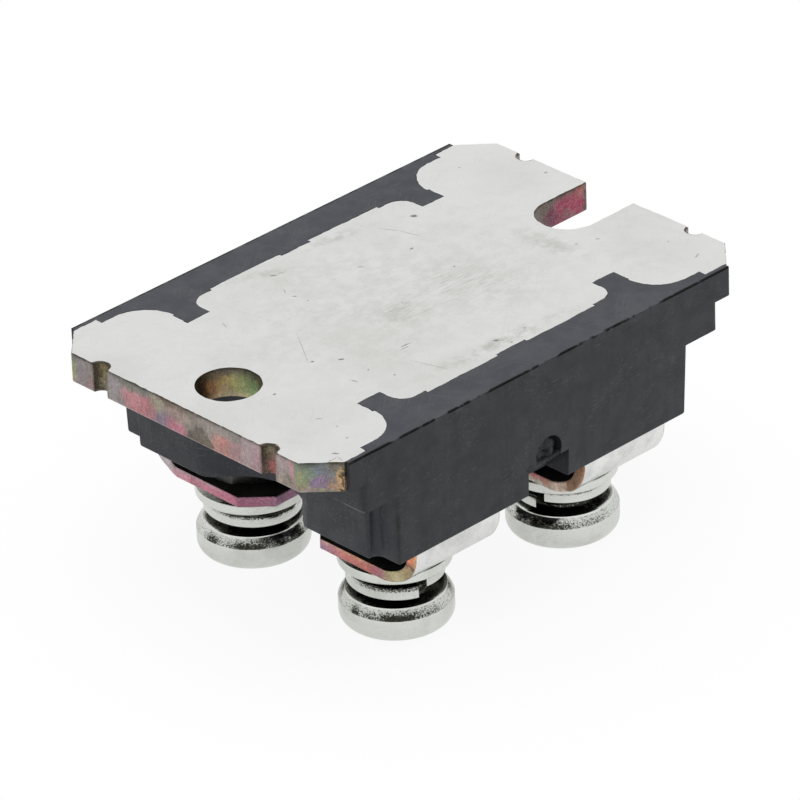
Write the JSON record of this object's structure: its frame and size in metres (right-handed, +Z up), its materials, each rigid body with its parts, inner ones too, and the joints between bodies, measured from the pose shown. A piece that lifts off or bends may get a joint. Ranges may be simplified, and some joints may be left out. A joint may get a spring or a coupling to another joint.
{
  "type": "fast recovery diode module",
  "caption": "Isolated power diode module: plated base plate in a moulded body, folded screw terminals with loose nuts, screws and washers, lying base up.",
  "frame": {"origin": "on the surface that the module lies on, under the middle of its base plate", "axes": "+X along the length to the open slot, +Y across the width away from the gate notch, +Z up to the base plate's outer face"},
  "size_m": [0.0382, 0.0252, 0.0177],
  "materials": {
    "plate_nickel": "satin nickel plating over copper",
    "terminal_nickel": "satin nickel plating over copper, bare at its cut edges",
    "fastener": "satin nickel-plated steel",
    "moulding": "matte black epoxy moulding",
    "bare_copper": "satin copper",
    "solder": "satin solder",
    "ceramic_plate": "matte white ceramic",
    "silicon": "satin metallised silicon"
  },
  "bodies": {
    "root": {"base_plate": "plate_nickel", "housing": "moulding", "terminal_1": "terminal_nickel", "nut_1": "fastener", "terminal_screw_1": "fastener", "flat_washer_1": "fastener", "spring_washer_1": "fastener", "foot_solder_1": "solder", "terminal_2": "terminal_nickel", "nut_2": "fastener", "terminal_screw_2": "fastener", "flat_washer_2": "fastener", "spring_washer_2": "fastener", "foot_solder_2": "solder", "terminal_3": "terminal_nickel", "nut_3": "fastener", "terminal_screw_3": "fastener", "flat_washer_3": "fastener", "spring_washer_3": "fastener", "foot_solder_3": "solder", "terminal_4": "terminal_nickel", "nut_4": "fastener", "terminal_screw_4": "fastener", "flat_washer_4": "fastener", "spring_washer_4": "fastener", "foot_solder_4": "solder", "base_solder": "solder", "lower_copper": "bare_copper", "ceramic_substrate": "ceramic_plate", "cathode_pad_1": "bare_copper", "anode_pad_1": "bare_copper", "chip_solder_1": "solder", "diode_chip_1": "silicon", "clip_chip_solder_1": "solder", "anode_clip_1": "bare_copper", "clip_pad_solder_1": "solder", "cathode_pad_2": "bare_copper", "anode_pad_2": "bare_copper", "chip_solder_2": "solder", "diode_chip_2": "silicon", "clip_chip_solder_2": "solder", "anode_clip_2": "bare_copper", "clip_pad_solder_2": "solder"}
  },
  "joints": []
}
